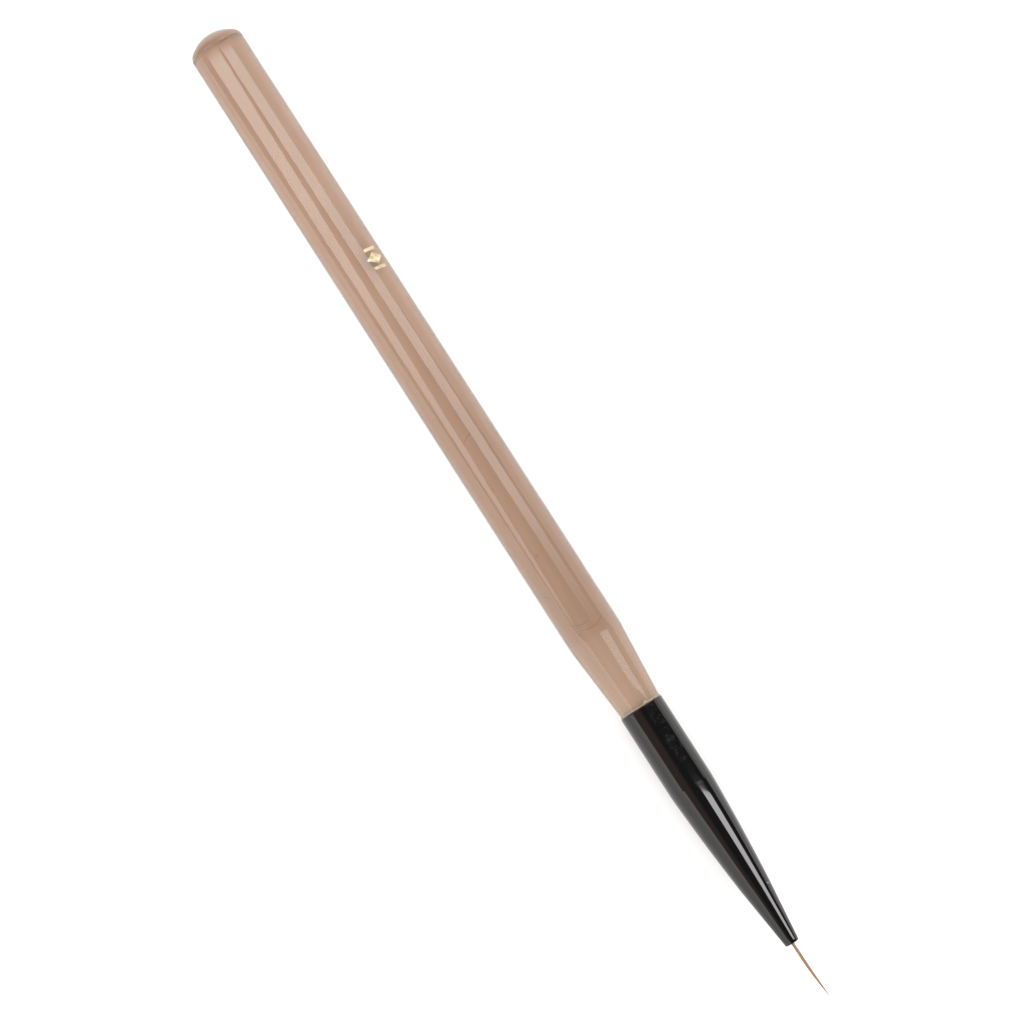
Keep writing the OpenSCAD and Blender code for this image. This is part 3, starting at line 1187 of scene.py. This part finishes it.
@dataclass
class Hair:
    """Bundle of separate tapered hairs that run together into one fine point."""

    count: int = 56
    seed: int = 11
    sides: int = 6
    rings: int = 28
    root_len: float = 7.0 * MM
    straight: float = 3.4 * MM
    thick: float = 0.036 * MM
    fine: float = 0.011 * MM
    lean: float = 0.42 * MM
    shortest: float = 0.87
    bend_start: float = 0.1 * MM
    bend_end: float = 1.6 * MM

    def reach(self, s: float) -> float:
        """Give the bundle's radius at a distance s beyond the mouth."""
        full = PLACES.tip - PLACES.mouth
        k = min(max((s - self.straight) / (full - self.straight), 0.0), 1.0)
        return (PLACES.hair_r - self.thick * 0.9) * (1.0 - k**1.75)

    def straight_tube(self, bm: bmesh.types.BMesh) -> None:
        """Draw one straight closed tube of unit length and radius, which every hair is a copy of."""
        bmesh.ops.create_circle(bm, segments=self.sides, radius=1.0)
        bmesh.ops.spin(
            bm,
            geom=bm.verts[:] + bm.edges[:],
            cent=(0.0, 0.0, 0.0),
            axis=(0.0, 0.0, 1.0),
            dvec=(0.0, 0.0, 1.0 / self.rings),
            angle=0.0,
            steps=self.rings,
        )
        open_ends = [edge for edge in bm.edges if edge.is_boundary]
        bmesh.ops.holes_fill(bm, edges=open_ends, sides=0)

    def strand(
        self, bm: bmesh.types.BMesh, verts: list[bmesh.types.BMVert], index: int, draw: random.Random
    ) -> None:
        """Shape one straight tube into a hair.

        Args:
            bm: The bundle's mesh.
            verts: The tube's points.
            index: The hair's number, which sets its place in the bundle.
            draw: Source of the small differences between hairs.
        """
        p = PLACES
        full = p.tip - p.mouth
        share = math.sqrt((index + 0.3) / self.count)
        turn = index * math.pi * (3.0 - math.sqrt(5.0))
        length = full * (1.0 if index == 0 else draw.uniform(self.shortest, 0.985) + 0.015 * (1 - share))
        shade, drift, wave = draw.random(), draw.uniform(-0.25, 0.25), draw.uniform(0.0, math.tau)
        total = self.root_len + length
        along_layer = bm.verts.layers.float["along"]
        shade_layer = bm.verts.layers.float["shade"]
        for vert in verts:
            s = vert.co.z * total - self.root_len
            k = max(s, 0.0) / length
            thin = self.thick + (self.fine - self.thick) * max(0.0, (k - 0.45) / 0.55) ** 1.2
            out = self.reach(s) * share
            angle = turn + drift * k * k
            y = out * math.sin(angle) + self.lean * (max(s, 0.0) / full) ** 2.2
            z = out * math.cos(angle)
            stray = 0.012 * MM * math.sin(5.0 * k + wave) * k * (1.0 - k) * 4.0
            vert[along_layer] = max(s, 0.0) / full
            vert[shade_layer] = shade
            vert.co = Vector((p.mouth + s, y + vert.co.x * thin + stray, p.axis_z + z + vert.co.y * thin))

    def build(self) -> None:
        """Build, dress and place the hair, which bends across the mouth."""
        p = PLACES
        draw = random.Random(self.seed)
        bm = bmesh.new()
        bm.verts.layers.float.new("along")
        bm.verts.layers.float.new("shade")
        self.straight_tube(bm)
        first = bm.verts[:] + bm.edges[:] + bm.faces[:]
        pattern = bm.verts[:]
        for index in range(self.count):
            copied = bmesh.ops.duplicate(bm, geom=first)["geom"]
            verts = [item for item in copied if isinstance(item, bmesh.types.BMVert)]
            self.strand(bm, verts, index, draw)
        bmesh.ops.delete(bm, geom=pattern, context="VERTS")
        bmesh.ops.recalc_face_normals(bm, faces=bm.faces)
        bundle = keep_mesh("hair_bundle", bm, crease_deg=70.0)
        HairFinish().dress(bundle)
        start = (p.mouth + self.bend_start, 0.0, p.axis_z)
        end = (p.mouth + self.bend_end, 0.0, p.axis_z)
        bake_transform(bundle, Body.BRUSH.value, Body.TUFT.value, start=start, end=end)
        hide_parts("hair_roots", "hair_tuft")
        log.info("%s: %d hairs, stands for hair_roots, hair_tuft", bundle.name, self.count)


# ---------------------------------------------------------------------------------------------
# Studio
# ---------------------------------------------------------------------------------------------


@dataclass(frozen=True)
class CurvedPanel:
    """A glowing sheet bent round the brush, with edges that may slant: (x, from, to) at each end."""

    name: str
    near: tuple[float, float, float]
    far: tuple[float, float, float]
    near_glow: float
    far_glow: float
    fade: float = 0.0
    start: float = 0.0
    colour: Colour = (1.0, 1.0, 1.0)
    reach: float = 421.0 * MM

    def glow(self) -> bpy.types.Material:
        """Make the panel's own light, which changes evenly along it and may fade at both ends."""
        material = bpy.data.materials.new(self.name)
        material.use_nodes = True
        g = Graph(material.node_tree)
        material.node_tree.nodes.clear()
        out = g.node("ShaderNodeOutputMaterial")
        lamp = g.node("ShaderNodeEmission")
        g.feed(out.inputs["Surface"], lamp.outputs[0])
        lamp.inputs["Color"].default_value = rgba(self.colour)
        split = g.node("ShaderNodeSeparateXYZ")
        g.feed(split.inputs[0], g.coords())
        x0, x1 = self.near[0], self.far[0]
        level = g.ramp(split.outputs[0], x0, x1, self.near_glow, self.far_glow, shape="LINEAR")
        if self.fade > 0.0:
            level = g.math("MULTIPLY", level, g.ramp(split.outputs[0], x1 - self.fade, x1, 1.0, 0.0))
        if self.start > 0.0:
            level = g.math("MULTIPLY", level, g.ramp(split.outputs[0], x0, x0 + self.start))
        g.feed(lamp.inputs["Strength"], level)
        return material

    def build(self) -> None:
        """Bend the panel from a flat grid."""
        bm = bmesh.new()
        sheet = bmesh.ops.create_grid(bm, x_segments=12, y_segments=12, size=0.5)["verts"]
        for vert in sheet:
            k, across = vert.co.x + 0.5, vert.co.y + 0.5
            x, low, high = (a + (b - a) * k for a, b in zip(self.near, self.far))
            vert.co = around(x, self.reach, low + (high - low) * across)
        bmesh.ops.recalc_face_normals(bm, faces=bm.faces)
        panel = keep_mesh(self.name, bm)
        panel.data.materials.append(self.glow())
        panel.visible_camera = False
        panel.visible_shadow = False


@dataclass
class Studio:
    """Pale floor, soft light and the camera."""

    focus_px: float = 2900.0
    frame_px: float = 1024.0
    sensor: float = 36.0
    tilt_deg: float = 5.0
    distance: float = 421.7 * MM
    centre_x: float = 0.21 * MM
    centre_y: float = -0.40 * MM
    slant: tuple[float, float] = (0.54075, -0.84118)
    tent_edge: float = 0.442
    tent_lean: float = 0.203
    tent_twist: float = 1.8
    tent_low_glow: float = 1.50
    tent_edge_glow: float = 1.90
    tent_far_side: float = 0.69
    warm_top: Colour = (0.50, 0.36, 0.34)
    cool_top: Colour = (0.165, 0.160, 0.165)
    panels: tuple[CurvedPanel, ...] = (
        CurvedPanel(
            "highlight_right", (-0.199, 10.5, 53.3), (0.022, 22.0, 53.3), 4.6, 2.5, fade=0.070, start=0.005
        ),
        CurvedPanel(
            "highlight_left", (-0.199, 3.0, -53.3), (0.016, -47.0, -53.3), 4.6, 2.4, fade=0.030, start=0.005
        ),
        CurvedPanel("taper_streak", (0.062, 22.0, 56.0), (0.0925, 22.0, 56.0), 2.5, 2.5),
        CurvedPanel("ferrule_streak", (0.1005, 31.0, 63.0), (0.300, 45.0, 66.0), 7.5, 7.5),
    )

    def aim(self) -> None:
        """Set the camera above the brush, with the brush running from upper left to lower right."""
        tilt = math.radians(self.tilt_deg)
        look = Vector((-math.sin(tilt), 0.0, -math.cos(tilt)))
        target = Vector((self.centre_x, self.centre_y, PLACES.axis_z))
        along = (Vector((1.0, 0.0, 0.0)) - look * look.x).normalized()
        across = look.cross(along)
        right = along * self.slant[0] + across * self.slant[1]
        up = right.cross(look)
        spin = Matrix((right, up, -look)).transposed()
        data = bpy.data.cameras.new("camera")
        data.sensor_width = self.sensor
        data.lens = self.focus_px / self.frame_px * self.sensor
        data.clip_start = 0.01
        data.clip_end = 20.0
        camera = bpy.data.objects.new("camera", data)
        camera.matrix_world = Matrix.Translation(target - look * self.distance) @ spin.to_4x4()
        bpy.context.scene.collection.objects.link(camera)
        bpy.context.scene.camera = camera

    @staticmethod
    def softbox(name: str, spot: Vector, size: tuple[float, float], radiance: float) -> None:
        """Hang a soft light that faces the middle of the brush and doesn't show in polished surfaces.

        Args:
            name: Name of the light.
            spot: Where its middle is.
            size: Its two sides, in metres.
            radiance: Its brightness, where 1 is white paper.
        """
        data = bpy.data.lights.new(name, "AREA")
        data.shape = "RECTANGLE"
        data.size, data.size_y = size
        data.energy = radiance * math.pi * size[0] * size[1]
        lamp = bpy.data.objects.new(name, data)
        back = (spot - Vector((0.0, 0.0, PLACES.axis_z))).normalized()
        side = back.cross(Vector((0.0, 1.0, 0.0))).normalized()
        turn = Matrix((side, back.cross(side), back)).transposed().to_4x4()
        lamp.matrix_world = Matrix.Translation(spot) @ turn
        lamp.visible_camera = False
        lamp.visible_glossy = False
        bpy.context.scene.collection.objects.link(lamp)

    def surround(self) -> None:
        """Make the surroundings: pale low down and dark high up, as in a light tent with an open top."""
        world = bpy.data.worlds.new("tent")
        bpy.context.scene.world = world
        world.use_nodes = True
        g = Graph(world.node_tree)
        world.node_tree.nodes.clear()
        out = g.node("ShaderNodeOutputWorld")
        sky = g.node("ShaderNodeBackground")
        g.feed(out.inputs["Surface"], sky.outputs[0])
        split = g.node("ShaderNodeSeparateXYZ")
        g.feed(split.inputs[0], g.node("ShaderNodeTexCoord").outputs["Generated"])
        slope = g.math("ADD", self.tent_lean, g.math("MULTIPLY", split.outputs[0], self.tent_twist))
        lean = g.math("ADD", split.outputs[2], g.math("MULTIPLY", split.outputs[1], slope))
        edge = self.tent_edge
        open_top = g.ramp(lean, edge - 0.008, edge + 0.008)
        low = g.ramp(lean, 0.0, edge, self.tent_low_glow, self.tent_edge_glow)
        low = g.math("MULTIPLY", low, g.ramp(split.outputs[1], -0.3, 0.3, 1.0, self.tent_far_side))
        closed = g.math("MULTIPLY", low, g.math("SUBTRACT", 1.0, open_top))
        g.feed(sky.inputs["Strength"], g.math("ADD", closed, open_top))
        aside = g.ramp(split.outputs[1], -0.34, -0.06)
        high = g.mix(aside, rgba(self.warm_top), rgba(self.cool_top))
        g.feed(sky.inputs["Color"], g.mix(open_top, rgba((0.99, 1.0, 0.97)), high))

    def floor(self) -> None:
        """Lay the pale floor."""
        bm = bmesh.new()
        bmesh.ops.create_grid(bm, x_segments=2, y_segments=2, size=6.0)
        sheet = keep_mesh("floor", bm)
        sheet.data.materials.append(PalePaper().build())

    def build(self) -> None:
        """Set up the whole studio."""
        bpy.context.scene.view_settings.view_transform = "Standard"
        self.aim()
        self.surround()
        self.softbox("overhead", Vector((0.30, 0.0, 1.0)), (1.4, 1.4), 1.24)
        self.softbox("left_side", Vector((0.40, -0.8, 0.45)), (0.8, 0.6), 2.2)
        self.softbox("right_side", Vector((-0.25, 0.8, 0.45)), (0.8, 0.6), 1.3)
        for panel in self.panels:
            panel.build()
        self.floor()


def main() -> None:
    """Build the brush and its studio in order."""
    Studio().build()
    Handle().build()
    FoilMark().build()
    Joint().build()
    Ferrule().build()
    Root().build()
    Hair().build()


if __name__ == "__main__":
    main()
